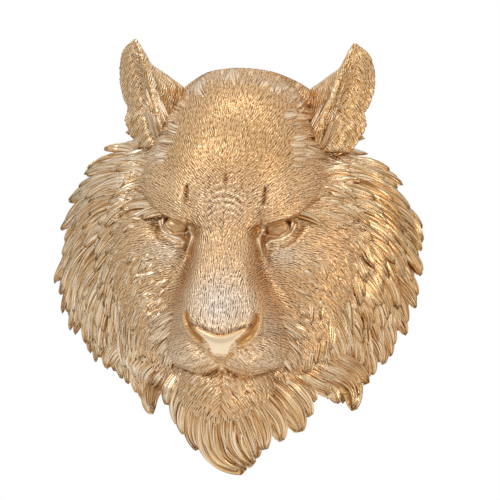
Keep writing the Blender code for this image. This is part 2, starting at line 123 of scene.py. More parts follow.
# The head. Its values are those of the solid: the outline goes by angle from the top, the ridge by height
headValues = dict(
    rim=14.0, ruffDepth=108.0,
    outline=[(0, 172), (12, 171), (20, 168), (28, 156), (36, 142), (45, 141), (57, 152), (70, 160), (80, 161),
             (90, 162), (100, 164), (110, 163), (120, 158), (130, 154), (140, 146), (150, 138), (160, 138),
             (170, 150), (180, 160)],
    drawIn=[(0, 0.17), (30, 0.13), (60, 0.09), (120, 0.09), (150, 0.26), (180, 0.32)],
    ridge=[(80, 126), (50, 133), (34, 135), (20, 139), (5, 147), (-15, 160), (-35, 173), (-55, 185),
           (-64, 189), (-72, 190.5), (-80, 189.5), (-86, 186), (-93, 180), (-102, 173), (-110, 164)],
    ridgeWidth=[(80, 34), (34, 23), (10, 21.8), (-5, 22.5), (-20, 24), (-45, 27.5), (-62, 28), (-72, 21),
                (-84, 10), (-110, 6)],
    # what the head is melted from: centre, radii, squareness, and how softly it joins the rest
    skull=((0, 16, 44), (91, 117, 130), 2.35, 30),
    forms=[((60, 50, -14), (50, 62, 68), 2.2, 30),    # cheek
           ((54, 50, -74), (52, 62, 46), 2.2, 30),    # jowl
           ((0, 48, -130), (72, 88, 66), 2.0, 26),    # throat
           ((0, 103, -121), (42, 63, 37), 2.1, 22)],  # chin
    muzzleBlend=28, snoutBlend=20)
# Where an eye is, its half size and turn, and how deep its ball lies and how far it stands out
eyeValues = dict(place=(46.5, 23.8), half=(10.0, 7.6), turn=18.0, depth=110.5, crown=6.5)


def outlineRadius(turn):
    return through(np.abs(turn), headValues["outline"])


def ruff(x, z):
    turn = np.degrees(np.arctan2(np.abs(x), z))
    share = np.clip(np.hypot(x, z) / outlineRadius(turn), 0, 1)
    rise = (headValues["ruffDepth"] - headValues["rim"]) * (0.45 + 0.55 * ease(turn, 26, 62))
    return headValues["rim"] + rise * (1 - share ** 2.4) ** 0.62


def muzzle(a, z):
    tall = np.where(z > -84, 62.0, 25.0)
    inside = 1 - (a / 56) ** 2.3 - np.abs((z + 84) / tall) ** np.where(z > -84, 2.1, 2.4)
    return 92 + 84 * np.sign(inside) * np.abs(inside) ** (0.45 + 0.45 * ease(z, -82, -48))


def snout(a, z):
    zIn = np.clip(z, -110, 80)
    width = through(zIn, headValues["ridgeWidth"])
    past = 0.5 * ((a - width) + np.sqrt((a - width) ** 2 + 30))
    top = through(zIn, headValues["ridge"]) - 3.0 * (a / width) ** 2 - 2.1 * past
    return top - 70 * ease(z, 28, 120) - 60 * ease(-z, 86, 112)


def centred(x, z):
    # The face's own midline wanders: a little left between the brows, a little right at the nose
    lean = (-1.6 + 5.6 * ease(z, -75, -8)) * (1 - 0.6 * ease(z, 70, 140))
    return x + lean * (1 - ease(np.abs(x), 80, 125))


def headForm(x, z):
    d = ruff(x, z)
    x = centred(x, z)
    a = np.abs(x)
    narrow = 1 + 0.0015 * np.maximum(z - 50, 0)  # the skull narrows towards the crown
    centre, radii, power, blend = headValues["skull"]
    d = smoothMax(d, ball(a * narrow, z, centre, radii, power), blend)
    for centre, radii, power, blend in headValues["forms"]:
        d = smoothMax(d, ball(a, z, centre, radii, power), blend)
    d = smoothMax(d, muzzle(a, z), headValues["muzzleBlend"])
    return smoothMax(d, snout(a, z), headValues["snoutBlend"])


def almond(a, z, grow=0.0):  # below 1 on the ball of an eye
    turn = math.radians(eyeValues["turn"])
    c, s = math.cos(turn), math.sin(turn)
    along, up = a - eyeValues["place"][0], z - eyeValues["place"][1]
    u = (c * along + s * up) / (eyeValues["half"][0] + grow)
    v = (-s * along + c * up) / (eyeValues["half"][1] + grow)
    return np.hypot(u, v)


def browLine(a):  # height of the lower edge of the brow
    return through(np.clip(a, 20, 90), faceLines["brow"])


def nosePad(a, z):  # the edge of the fur's lip, and 1 on the smooth nose below it
    edge = -69.0 + 8.2 * (np.minimum(a, 34) / 25) ** 1.3
    half = through(np.clip(z, -87, -54), faceLines["pad"])
    return edge, ease(edge - z, 0.0, 2.5) * ease(half - a, -1.2, 1.2) * ease(z, -88, -85.5)


# Lines on the face through (a, z) points. The brow goes by a, the pad of the nose by z.
faceLines = dict(
    brow=[(20, 24), (30, 24.6), (37, 26.4), (46, 29.4), (57, 33.2), (62.5, 36.5), (68, 41.5), (73, 47),
          (80, 53), (90, 57)],
    pad=[(-54, 31), (-61, 26.5), (-66, 22), (-71, 17.3), (-77, 10.8), (-84, 7.7), (-87, 6.5)],
    nostril=[(31, -54), (30.6, -58), (28.6, -62.5), (24.5, -69.5), (18.3, -74.5)],
    wing=[(34.4, -40), (35, -54), (34, -63), (30, -71), (24, -77), (17, -80)],
    tear=[(37, 26.5), (32.2, 20.5), (30.5, 15), (31.5, 8.5), (34, -0.5)],
    tearGroove=[(33.5, 17), (33.8, 9), (36.5, 2)],
    lid=[(58.5, 30), (55.8, 21.5), (47.5, 16.5), (38, 17.6), (33, 19)],
    lidGroove=[(59, 24), (52, 15.5), (44, 13.8)],
    bag=[(61.5, 28), (58, 20), (50, 15), (41.5, 13.0), (36.8, 9.5), (38.5, 5.5), (44, 5.2)],
    bagGroove=[(66, 25), (60, 13), (50, 7)],
    eyeCorner=[(29, 24), (30, 8), (32, -4)],
    besideNose=[(30, 24), (31, 8), (34, -6), (36, -24)],
    noseSide=[(31, -4), (38, -26), (46, -48)],
    cheekbone=[(42, 0), (58, 2), (78, 14)],
    browFurrow=[(34.5, 46), (35, 53), (35, 59)],
    midFurrow=[(1, 62), (1, 71)],
    sideFurrow=[(15, 56), (14, 66)],
    crownFurrow=[(0, 84), (0, 110)],
    cleft=[(0, -92), (0, -103)],
    padEdge=[(9.5, -86.5), (5.5, -91), (2.5, -95.5)],
    lip=[(9.5, -86.5), (5.5, -91), (0, -97)],
    mouth=[(3.5, -101), (8, -105.5), (17, -109.5), (28, -106), (41, -100.5), (50, -92.5), (56, -82)],
    wrinkles=(57, 50, 43.5, 37.5, 32))  # heights of the folds between the brows
# How far they stand out in millimetres: amount, line, widths; and areas: amount, centre, radii, turn
faceForm = dict(
    furrows=[(-3.5, "browFurrow", 2.4, 1.6), (-2.5, "crownFurrow", 14), (-2.6, "midFurrow", 2.2, 1.4),
             (-1.6, "sideFurrow", 2.6, 1.6)],
    sockets=[(-15, (47, 26), (18, 9.5), 14), (-9, (33, 14), (7, 17)), (-1.5, (72, 30), (14, 9), 30)],
    lids=[(4.4, "lid", 1.5, 1.4), (-1.2, "lidGroove", 1.6), (4.2, "bag", 1.9, 1.5),
          (-3.0, "bagGroove", 2.4, 2.0), (5.0, "tear", 3.0, 1.0), (-1.5, "tearGroove", 1.1, 0.8)],
    pads=[(9, (21, -96), (17, 11), 8), (4, (38, -88), (16, 13), 20), (2.5, (0, -89.5), (3.6, 2.6)),
          (3.0, (0, -101), (6.0, 1.8))],
    muzzle=[(-5.0, "cleft", 2.6), (3.0, "cheekbone", 12), (-4.5, "noseSide", 9, 8),
            (-5.0, "nostril", 2.0, 3.2), (1.4, "wing", 1.8, 1.6), (-2.8, "padEdge", 1.3, 1.2),
            (-4.5, "mouth", 2.0, 2.2)])
# Lines without fur: amount, line, widths
smoothLines = [(1.0, "tear", 3.6, 2.2), (0.9, "bag", 1.9, 1.6), (1.0, "nostril", 3.0, 4.0),
               (0.7, "wing", 1.2, 1.0), (1.0, "lip", 1.6), (0.6, "eyeCorner", 3.2, 2.6)]


def onLines(a, z, table):
    return sum(amount * stroke(a, z, faceLines[name], *widths) for amount, name, *widths in table)


def overAreas(a, z, table):
    return sum(amount * swell(a, z, *area) for amount, *area in table)


def wrinkles(a, z):  # arched folds of the fur between the brows
    folds = np.zeros(np.shape(a))
    for height in faceLines["wrinkles"]:
        arch = [(0, height + 5), (9, height + 3), (17, height - 4)]
        folds = np.maximum(folds, stroke(a, z, arch, 1.3, 0.8))
    return folds


def headDepth(x, z):
    form = headForm(x, z)
    a = np.abs(centred(x, z))
    d = form + onLines(a, z, faceForm["furrows"]) + overAreas(a, z, faceForm["sockets"])
    d = d + 1.5 * wrinkles(a, z)
    # The balls of the eyes, lower lids with the folds under them, and the tear lines
    opening = almond(a, z)
    eyeBall = eyeValues["depth"] + eyeValues["crown"] * np.sqrt(np.clip(1 - opening ** 2, 0, 1))
    eyeBall = eyeBall - 30 * ease(opening, 0.99, 1.15)
    d = np.where(opening < 1.15, np.maximum(d - 2.5, eyeBall), d)
    d = d + onLines(a, z, faceForm["lids"])
    # The brows stand over the eyes with a sharp lower edge
    line = browLine(a)
    span = ease(a, 24, 40) * (1 - ease(a, 70, 94))
    heavy = 10.5 * span * (1 - ease(z, line + 15, line + 46)) * (0.80 + 0.20 * ease(z, line, line + 9))
    edge = ease(z, line - 2.2, line + 1.6)
    brow = form + heavy + onLines(a, z, faceForm["furrows"][:1])
    d = d * (1 - edge) + np.maximum(d, brow) * edge
    # Whisker pads, cheek folds and the planes beside the nose, then nose, nostrils, cleft and mouth
    lip, pad = nosePad(a, z)
    fold = np.exp(-(((z - lip + 0.6) / 1.8) ** 2)) * (a < 27)
    d = d + overAreas(a, z, faceForm["pads"]) + onLines(a, z, faceForm["muzzle"])
    return d - 1.6 * fold + 0.4 * pad


def smoothSkin(a, z):  # 1 where the casting has no fur: eyes, lids, tear lines, nose and lips
    bare = (almond(a, z, 0.8) < 1.0) * 1.0
    bare = np.maximum(bare, stroke(a, z, faceLines["lid"], 2.2))
    bare = bare * (1 - ease(z, browLine(a) - 1.0, browLine(a) + 1.0))
    for amount, name, *widths in smoothLines:
        bare = np.maximum(bare, amount * stroke(a, z, faceLines[name], *widths))
    bare = np.maximum(bare, nosePad(a, z)[1])
    bare = np.maximum(bare, swell(a, z, (0, -101), (6, 1.8)))
    return np.clip(bare * 1.25, 0, 1)


# How the fur lies, as degrees from straight out to the side, turning up, at (a, z) places
furFlow = [(0, 160, 90), (40, 150, 68), (80, 125, 42), (0, 100, 90), (35, 100, 68), (70, 95, 40),
           (100, 90, 15), (5, 68, 40), (22, 64, 42), (45, 60, 48), (68, 62, 28), (92, 62, 6), (7, 50, 26),
           (22, 46, 30), (10, 32, 60), (80, 45, 10), (0, 0, 90), (20, 0, 96), (0, -40, 90), (24, -40, 100),
           (0, -60, 90), (36, -10, 40), (45, 4, -14), (62, 8, -12), (82, 20, -12), (100, 30, -16),
           (50, -22, -20), (70, -20, -34), (95, -20, -44), (44, -50, -10), (60, -50, -40), (90, -60, -60),
           (30, -88, -20), (50, -82, -24), (58, -95, -55), (22, -100, -50), (75, -95, -68), (4, -110, -48),
           (22, -114, -40), (45, -116, -62), (6, -126, -52), (22, -130, -54), (0, -150, -90),
           (100, -100, -74)]


def flowAngle(a, z):
    total = np.zeros(np.shape(a) + (2,))
    for pointA, pointZ, angle in furFlow:
        near = 1.0 / ((a - pointA) ** 2 + (z - pointZ) ** 2 + 30.0) ** 1.6
        total[..., 0] += near * math.cos(math.radians(angle))
        total[..., 1] += near * math.sin(math.radians(angle))
    return np.arctan2(total[..., 1], total[..., 0])


def halfTurn(angle):  # the same line, as an angle within a quarter turn of straight up
    return angle % np.pi - np.pi / 2


def unit(vectors):
    return vectors / np.maximum(np.linalg.norm(vectors, axis=-1, keepdims=True), 1e-9)


def gridNormals(points, outward):
    normal = unit(np.cross(np.gradient(points, axis=1), np.gradient(points, axis=0)))
    return normal * np.sign((normal * outward).sum(-1, keepdims=True) + 1e-12)


def evenRelief(table, width=7):
    # How far each point stands above or below its surroundings, between -1 and 1
    kernel = np.ones(width) / width
    def blur(rows):
        padded = np.pad(rows, width // 2, "edge")
        rows = np.apply_along_axis(np.convolve, 0, padded, kernel, "valid")
        return np.apply_along_axis(np.convolve, 1, rows, kernel, "valid")
    above = table - blur(table)
    return np.clip(above / (1.6 * np.sqrt(blur(above * above)) + 0.02), -1, 1)


def combFur(points, normal, flow, length, width, height, count, seed, spread=12.0):
    # Lays overlapping hairs over a grid of points: each is a leaf that rises to its tip
    rng = random.Random(seed)
    stepI, stepJ = np.gradient(points, axis=0), np.gradient(points, axis=1)
    along = unit(flow - (flow * normal).sum(-1, keepdims=True) * normal)
    beside = np.cross(normal, along)
    matrix = [(axis * step).sum(-1) for axis in (along, beside) for step in (stepI, stepJ)]
    sizeI, sizeJ = (np.linalg.norm(step, axis=-1) + 0.05 for step in (stepI, stepJ))
    relief = np.zeros(points.shape[:2])
    rows, columns = relief.shape
    for _ in range(count):
        i, j = rng.randrange(rows), rng.randrange(columns)
        long, wide, high = (table[i, j] * rng.uniform(0.75, 1.25) for table in (length, width, height))
        if high < 0.06:
            continue
        turn = math.radians(rng.gauss(0, spread))
        c, s = math.cos(turn), math.sin(turn)
        reachI, reachJ = int(0.55 * long / sizeI[i, j]) + 2, int(0.55 * long / sizeJ[i, j]) + 2
        i0, i1 = max(i - reachI, 0), min(i + reachI + 1, rows)
        j0, j1 = max(j - reachJ, 0), min(j + reachJ + 1, columns)
        di, dj = np.arange(i0 - i, i1 - i)[:, None], np.arange(j0 - j, j1 - j)[None, :]
        p = matrix[0][i, j] * di + matrix[1][i, j] * dj
        q = matrix[2][i, j] * di + matrix[3][i, j] * dj
        u = (c * p + s * q) / long + 0.5
        v = (c * q - s * p) / (0.5 * wide)
        inside = (u > 0) & (u < 1)
        leaf = np.clip(u, 0, 1) ** 0.45 * np.clip(1 - u, 0, 1) ** 0.65 * 2.05
        body = np.clip(1 - (v / np.maximum(leaf, 0.05)) ** 2, 0, 1) * inside
        hair = high * (0.25 + 0.75 * np.clip(u, 0, 1)) * np.sqrt(body)
        patch = relief[i0:i1, j0:j1]
        np.maximum(patch, hair, out=patch)
    return relief


def setInputs(tree, node, inputs):  # each input is a fixed value or another node's output
    for key, value in inputs.items():
        if isinstance(value, bpy.types.NodeSocket):
            tree.links.new(value, node.inputs[key])
        else:
            node.inputs[key].default_value = value


def addNode(tree, kind, inputs, **settings):
    node = tree.nodes.new(kind)
    for key, value in settings.items():
        setattr(node, key, value)
    setInputs(tree, node, inputs)
    return node.outputs


def calculate(tree, operation, *values):
    return addNode(tree, "ShaderNodeMath", dict(enumerate(values)), operation=operation)[0]


def mixColour(tree, blend, share, first, second):
    inputs = {"Factor": share, "A": first, "B": second}
    return addNode(tree, "ShaderNodeMix", inputs, data_type="RGBA", blend_type=blend)["Result"]


def colourRamp(tree, value, stops):
    ramp = tree.nodes.new("ShaderNodeValToRGB")
    for position, _ in stops[1:-1]:
        ramp.color_ramp.elements.new(position)
    for stop, (position, colour) in zip(ramp.color_ramp.elements, stops):
        stop.position, stop.color = position, colour
    setInputs(tree, ramp, {"Fac": value})
    return ramp.outputs["Color"]


# The lacquer: its tones from hollow to high point, the warm tone of its drifts and of the painted warm light
# on its right side, and the paler one
goldValues = dict(
    ramp=[(0.0, (0.22, 0.08, 0.014, 1)), (0.35, (0.58, 0.34, 0.125, 1)), (0.65, (0.77, 0.58, 0.36, 1)),
          (1.0, (0.96, 0.88, 0.74, 1))],
    warm=(1.0, 0.78, 0.48, 1), pale=(0.80, 0.73, 0.60, 1), metallic=0.75, coatRoughness=0.28,
    # drift is how uneven the warmth is, and driftScale how fine; sides are in metres from left to right, over
    # which the right side grows warmer, partly the casting's own tone and partly painted warm light
    drift=0.30, driftScale=26.0, sideToneAndWarmLight=0.40, sides=(-0.06, 0.16))


def gold(name, look):
    # Gold lacquer: pale on the high points, orange brown in the hollows, with a brushed-on unevenness
    material = bpy.data.materials.new(name)
    material.use_nodes = True
    tree = material.node_tree
    place = addNode(tree, "ShaderNodeTexCoord", {})["Object"]
    split = addNode(tree, "ShaderNodeSeparateXYZ", {"Vector": place})
    marks = {key: addNode(tree, "ShaderNodeAttribute", {}, attribute_name=key)
             for key in ("relief", "fur", "lie", "comb", "pale")}
    # The finest hairs: strokes that lie the way the fur grows, or strands along a lock
    if look["pattern"] == "strokes":
        flat = addNode(tree, "ShaderNodeCombineXYZ", {"X": split["X"], "Y": split["Z"]})["Vector"]
        strokes = {"Vector": flat, "Scale": 1 / (look["size"] * 2 * mm), "Frequency": 2.0, "Anisotropy": 0.9,
                   "Orientation": marks["lie"]["Fac"]}
        fine = addNode(tree, "ShaderNodeTexGabor", strokes)["Value"]
    else:
        stretch = {"Vector": marks["comb"]["Vector"], "Scale": (1 / look["size"], 1 / look["length"], 1.0)}
        strands = addNode(tree, "ShaderNodeMapping", stretch)["Vector"]
        fine = addNode(tree, "ShaderNodeTexNoise", {"Vector": strands, "Scale": 1.0, "Detail": 0.6})["Fac"]
    detail = calculate(tree, "MULTIPLY", calculate(tree, "SUBTRACT", fine, 0.5), marks["fur"]["Fac"])
    # The relief mark holds the patina of the hollows together with the painted shade and painted highlights
    # laid into it
    tone = calculate(tree, "MULTIPLY_ADD", detail, look["contrast"], marks["relief"]["Fac"])
    # Broad drifts of tone, and warmer towards the right side: partly the casting's own tone, partly painted
    # warm light falling from that side
    drift = addNode(tree, "ShaderNodeTexNoise",
                    {"Vector": place, "Scale": goldValues["driftScale"], "Detail": 3.0})["Fac"]
    low, high = goldValues["sides"]
    side = addNode(tree, "ShaderNodeMapRange", {"Value": split["X"], "From Min": low, "From Max": high,
                                                "To Min": 0.0, "To Max": goldValues["sideToneAndWarmLight"]})["Result"]
    warmDriftAndSideLight = calculate(tree, "MULTIPLY_ADD", drift, goldValues["drift"], side)
    colour = colourRamp(tree, tone, goldValues["ramp"])
    colour = mixColour(tree, "MULTIPLY", warmDriftAndSideLight, colour, goldValues["warm"])
    colour = mixColour(tree, "SATURATION", marks["pale"]["Fac"], colour, goldValues["pale"])
    rough = {"Height": detail, "Strength": 1.0, "Distance": look["height"] * mm}
    setInputs(tree, tree.nodes["Principled BSDF"], {
        "Base Color": colour, "Metallic": goldValues["metallic"], "Roughness": look["roughness"],
        "Coat Weight": look["coat"], "Coat Roughness": goldValues["coatRoughness"],
        "Normal": addNode(tree, "ShaderNodeBump", rough)["Normal"]})
    return material


# Size, length and height of the finest hairs in millimetres, how much they change the tone, and the gloss
furLook = dict(pattern="strokes", size=2.0, height=1.0, contrast=1.3, roughness=0.30, coat=0.10)
lockLook = dict(pattern="strands", size=0.95, length=40.0, height=1.5, contrast=2.5, roughness=0.23,
                coat=0.05)
furGold, lockGold = gold("gold_fur", furLook), gold("gold_locks", lockLook)


def finishPiece(name, bm, places, marks, material, sharp=None, normals=None):
    # Puts the worked-out places into a mesh, and hands the piece to the frame
    mesh = toMesh(name, bm)
    mesh.vertices.foreach_set("co", (places * mm).astype(np.float32).ravel())
    marks = dict(dict(relief=0.5, fur=1.0, pale=0.0), **marks)
    for key, value in marks.items():
        kind, field, shape = "FLOAT", "value", (len(places),)
        if key == "comb":
            kind, field, shape = "FLOAT_VECTOR", "vector", (len(places), 3)
        table = np.broadcast_to(np.asarray(value, np.float32), shape)
        attribute = mesh.attributes.new(key, kind, "POINT")
        attribute.data.foreach_set(field, np.ascontiguousarray(table).ravel())
    mesh.update()
    bm = bmesh.new()
    bm.from_mesh(mesh)
    bm.normal_update()
    bmesh.ops.recalc_face_normals(bm, faces=bm.faces)
    bm.to_mesh(mesh)
    bm.free()
    mesh.shade_smooth()
    if sharp:
        mesh.set_sharp_from_angle(angle=math.radians(sharp))
    if normals is not None:  # the skin's own normals, so that no seam shows where it is split
        corners = np.zeros(len(mesh.loops), int)
        mesh.loops.foreach_get("vertex_index", corners)
        facing = np.zeros(len(mesh.polygons) * 3)
        mesh.polygons.foreach_get("normal", facing)
        sizes = np.zeros(len(mesh.polygons), int)
        mesh.polygons.foreach_get("loop_total", sizes)
        facing = np.repeat(facing.reshape(-1, 3), sizes, axis=0)
        custom = normals[np.minimum(corners, len(normals) - 1)]
        starts = np.r_[0, np.cumsum(sizes)[:-1]]
        rear = np.repeat(np.add.reduceat(corners >= len(normals), starts), sizes) > 0
        custom[rear] = facing[rear]
        mesh.normals_split_custom_set(custom.tolist())
    mesh.materials.append(material)
    piece = addObject(name, mesh)
    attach(piece, "root")
    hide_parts("tiger_head")
    return piece


# The face: one fine skin in an upper and a lower half, evened out so that its points lie equally close
faceValues = dict(
    coarse=99, finer=4, rounds=160, step=0.8,  # points across, how much finer the skin is, and the evening
    edge=[(0, 171.5), (12, 170.5), (20, 167.5), (28, 155), (36, 139), (43, 125), (52, 117), (62, 113),
          (75, 111), (90, 110), (105, 110), (120, 112), (135, 117), (150, 126), (165, 138), (180, 146)],
    hairs=68000, tufts=3000,
    # lighter or darker on lines: amount, line, widths. The darker ones are painted shade in the nostrils, the
    # mouth and the furrows and on the planes beside the nose; the lighter ones are painted highlights on the
    # tear lines, lids and bags
    toneLines=[(-0.45, "nostril", 2.2, 3.2), (-0.25, "mouth", 1.6), (-0.24, "browFurrow", 2.4, 1.6),
               (-0.26, "midFurrow", 1.6, 1.0), (-0.16, "sideFurrow", 1.8, 1.2),
               (-0.20, "besideNose", 7.5, 5.0), (0.55, "tear", 1.8, 1.0), (0.40, "lid", 1.2, 1.0),
               (0.38, "bag", 1.3, 1.0)],
    # lighter areas, areas with stronger fine hairs, and paler areas: amount, centre, radii; the lighter,
    # paler area on the cheekbone at (52, 0) is a painted highlight
    toneAreas=[(0.13, (28, -94), (34, 16)), (0.06, (52, 0), (24, 12)), (0.04, (0, -44), (30, 26)),
               (0.35, (0, -96), (4, 6))],
    furAreas=[(0.3, (0, -44), (30, 26)), (0.5, (42, -62), (14, 24)), (0.5, (54, 0), (24, 14))],
    paleAreas=[(0.6, (0, -44), (28, 26)), (0.25, (52, 0), (24, 12)), (0.15, (30, -92), (34, 16)),
               (0.1, (40, -62), (10, 22)), (0.2, (0, 42), (40, 22))],
    # paler on the tear lines and bags, where their painted highlights lie
    paleLines=[(0.6, "tear", 2.4, 1.4), (0.4, "bag", 1.8, 1.4)])


def evenGrid(values):
    line = np.linspace(-1, 1, values["coarse"])
    v, u = np.meshgrid(line, line, indexing="ij")
    x, z = u * np.sqrt(1 - v * v / 2), v * np.sqrt(1 - u * u / 2)
    reach = through(np.degrees(np.arctan2(np.abs(x), z)), values["edge"])
    x, z = x * reach, z * reach
    for _ in range(values["rounds"]):
        points = np.stack([x, -headForm(x, z), z], -1)
        normal = gridNormals(points, np.array([0, -1.0, 0]))[1:-1, 1:-1]
        beside = points[2:, 1:-1] + points[:-2, 1:-1] + points[1:-1, 2:] + points[1:-1, :-2]
        pull = 0.25 * beside - points[1:-1, 1:-1]
        pull -= (pull * normal).sum(-1, keepdims=True) * normal
        x[1:-1, 1:-1] += values["step"] * pull[..., 0]
        z[1:-1, 1:-1] += values["step"] * pull[..., 2]
    size = (values["coarse"] - 1) * values["finer"] + 1
    old, new = np.arange(values["coarse"]), np.linspace(0, values["coarse"] - 1, size)
    tables = []
    for table in (x, z):
        table = np.stack([np.interp(new, old, row) for row in table])
        tables.append(np.stack([np.interp(new, old, column) for column in table.T], 1))
    return tables


def furSizes(a, z):
    # Length, width and height of the hairs: short on the nose and forehead, longer on the cheeks and chin
    out = ease(np.hypot(a, (z - 20) * 0.62), 52, 108) * ease(-z, -110, -10)
    chin = ease(-z, 104, 122)
    pads = swell(a, z, (30, -88), (34, 20))
    brow = swell(a, z, (0, 46), (34, 20))
    nose = swell(a, z, (0, -44), (30, 24))
    length = 4.2 + 10.0 * out + 8.0 * chin - 1.5 * pads + 3.0 * brow
    width = 1.35 + 0.8 * out + 0.6 * chin + 1.0 * brow + 0.5 * nose + 0.3 * pads
    height = 0.46 + 1.0 * out + 0.6 * chin + 0.3 * pads + 1.0 * brow + 0.8 * nose
    return length, width, height * (1 - smoothSkin(a, z))


def makeFace(values):
    x, z = evenGrid(values)
    points = np.stack([x, -headDepth(x, z), z], -1)
    normal = gridNormals(points, np.array([0, -1.0, 0]))
    side = np.where(centred(x, z) < 0, -1.0, 1.0)
    a = np.abs(centred(x, z))
    angle = flowAngle(a, z)
    flow = np.stack([side * np.cos(angle), np.zeros_like(x), np.sin(angle)], -1)
    length, width, height = furSizes(a, z)
    out = ease(np.hypot(a, (z - 10) * 0.7), 66, 96) * ease(-z, -95, -40)
    furry = 1 - smoothSkin(a, z)
    tuft = combFur(points, normal, flow, 17 + 6 * out, 5.0 + 2.0 * out, 2.6 * out * furry,
                   values["tufts"], 11, 9.0)
    hair = combFur(points, normal, flow, length, width, height, values["hairs"], 12) * furry
    places = points + normal * (hair + tuft)[..., None]
    skin = gridNormals(places, np.array([0, -1.0, 0]))
    shade = np.where(height < 0.2, 0.62, 0.45 + 0.32 * evenRelief(hair) + 0.15 * evenRelief(tuft))
    shade += onLines(a, z, values["toneLines"]) + overAreas(a, z, values["toneAreas"])
    # Painted highlights on the folds between the brows and painted shade between them; darker towards the top
    # of the forehead
    shade += 0.22 * (wrinkles(a, z) - 0.3) * swell(a, z, (0, 46), (26, 26)) - 0.05 * ease(z, 55, 100)
    # Painted shade on the ball of each eye, which lies deep under the brow, darkest at its rim
    opening = almond(a, z)
    eyeShade = 1 - 0.4 * np.sqrt(np.clip(1 - opening ** 2, 0, 1))
    shade -= 0.20 * (opening < 1.1) * eyeShade * (z < browLine(a) + 1)
    # The smooth nose is lighter, with a painted shadow in a band along its top, under the edge of the fur
    # above it
    lip, pad = nosePad(a, z)
    shade += 0.28 * pad - 0.45 * np.exp(-((z - lip + 1.0) / 2.4) ** 2) * (a < 30) * (1 - ease(a, 24, 30))
    fur = furry * (1 - 0.25 * ease(z, 55, 90) + overAreas(a, z, values["furAreas"]))
    pale = np.clip(0.13 + overAreas(a, z, values["paleAreas"]), 0, 0.8) * fur
    pale = np.maximum(pale, 0.12 * (opening < 1.1))
    pale = np.maximum(pale, onLines(a, z, values["paleLines"]))
    lie = halfTurn(np.arctan2(flow[..., 2], flow[..., 0]))
    middle = x.shape[0] // 2
    for name, rows in (("face_lower", slice(0, middle + 1)), ("face_upper", slice(middle, x.shape[0]))):
        part = places[rows]
        bm = bmesh.new()
        bmesh.ops.create_grid(bm, x_segments=part.shape[1] - 1, y_segments=part.shape[0] - 1, size=1.0)
        rim = [edge for edge in bm.edges if edge.is_boundary]
        wall = bmesh.ops.extrude_edge_only(bm, edges=rim)["geom"]
        added = [item for item in wall if isinstance(item, bmesh.types.BMVert)]
        count = part.shape[0] * part.shape[1]
        front = part.reshape(-1, 3)
        bm.verts.ensure_lookup_table()
        # Each point of the wall's back edge lies behind the rim point that it was drawn from
        source = []
        for vert in added:
            others = [edge.other_vert(vert) for edge in vert.link_edges]
            source.append(next(other.index for other in others if other.index < count and other not in added))
        behind = front[source] * np.array([0.985, 0, 0.985]) - np.array([0, 6.0, 0])
        bmesh.ops.holes_fill(bm, edges=[edge for edge in bm.edges if edge.is_boundary], sides=0)
        marks = {key: np.concatenate([table[rows].ravel(), np.full(len(source), 0.3)])
                 for key, table in (("relief", shade), ("fur", fur), ("lie", lie), ("pale", pale))}
        finishPiece(name, bm, np.concatenate([front, behind]), marks, furGold,
                    normals=skin[rows].reshape(-1, 3))


makeFace(faceValues)
print("Face done")


# The mane: tiers of locks laid like tiles, each a closed form with strands and a split tip
maneValues = dict(
    lean=[(20, -30), (40, -14), (55, 12), (70, 34), (90, 50), (110, 64), (130, 76), (150, 88), (180, 92)],
    reach={-1: [(30, 178), (40, 172), (45, 166), (50, 169), (60, 171), (70, 175), (90, 174), (100, 179),
                (112, 181), (122, 176), (132, 172), (140, 165)],
           1: [(30, 172), (40, 170), (45, 158), (50, 155), (60, 162), (70, 166), (90, 170), (100, 165),
               (115, 166), (130, 166), (140, 168)]},
    # root and tip shares of the radius, first and last angle, then length, width, thickness, lift,
    # spacing, lean and points of the locks
    tiers=[(0.86, 0.995, 45, 136, 58, 15, 5.5, 4.0, 0.42, 0, (36, 17)),
           (0.77, 0.93, 43, 136, 52, 14, 5.5, 4.5, 0.42, 7, (34, 15)),
           (0.68, 0.85, 42, 136, 46, 12.5, 5.0, 4.5, 0.44, -6, (32, 14)),
           (0.60, 0.765, 44, 138, 40, 11, 4.5, 4.5, 0.42, 8, (28, 13)),
           (0.52, 0.68, 48, 140, 33, 9.5, 4.0, 3.5, 0.44, -9, (24, 12)),
           (0.45, 0.60, 52, 142, 27, 8.5, 3.5, 3.0, 0.52, 4, (20, 10)),
           (0.39, 0.52, 60, 144, 21, 7.0, 3.2, 2.6, 0.72, -4, (18, 8))])


def carrier(x, z):  # the surface that the locks lie on
    far = np.hypot(x, z)
    radius = outlineRadius(np.degrees(np.arctan2(np.abs(x), z)))
    pull = np.minimum(1, 0.995 * radius / np.maximum(far, 1e-6))
    return headForm(x * pull, z * pull) - 1.1 * np.maximum(far - radius, 0)


def soften(table, width=5):
    pad, kernel = width // 2, np.ones(width) / width
    return np.stack([np.convolve(np.pad(row, pad, "edge"), kernel, "valid") for row in table.T], -1)


def lockLine(lock, steps=18):
    # The middle line lies on the carrier, or runs between two depths that the lock gives
    s = np.linspace(0, 1, steps + 1)
    root, tip = np.array(lock["root"], float), np.array(lock["tip"], float)
    along = tip - root
    middle = (root + tip) / 2 + lock["bow"] * np.array([-along[1], along[0]])
    bend = lock.get("hook", 0.0) * np.array([along[1], -along[0]])
    x, z = (np.outer((1 - s) ** 2, root) + np.outer(2 * s * (1 - s), middle) + np.outer(s * s, tip)
            + np.outer(s ** 4 - s, bend)).T
    if "depths" in lock:
        d = lock["depths"][0] + (lock["depths"][1] - lock["depths"][0]) * s
    else:
        d = np.maximum(soften(carrier(x, z)[:, None])[:, 0], 9.0)
    d = d + lock["rise"] * s ** 1.3 - lock["sink"] * (1 - s)
    return s, np.stack([x, -d, z], -1)


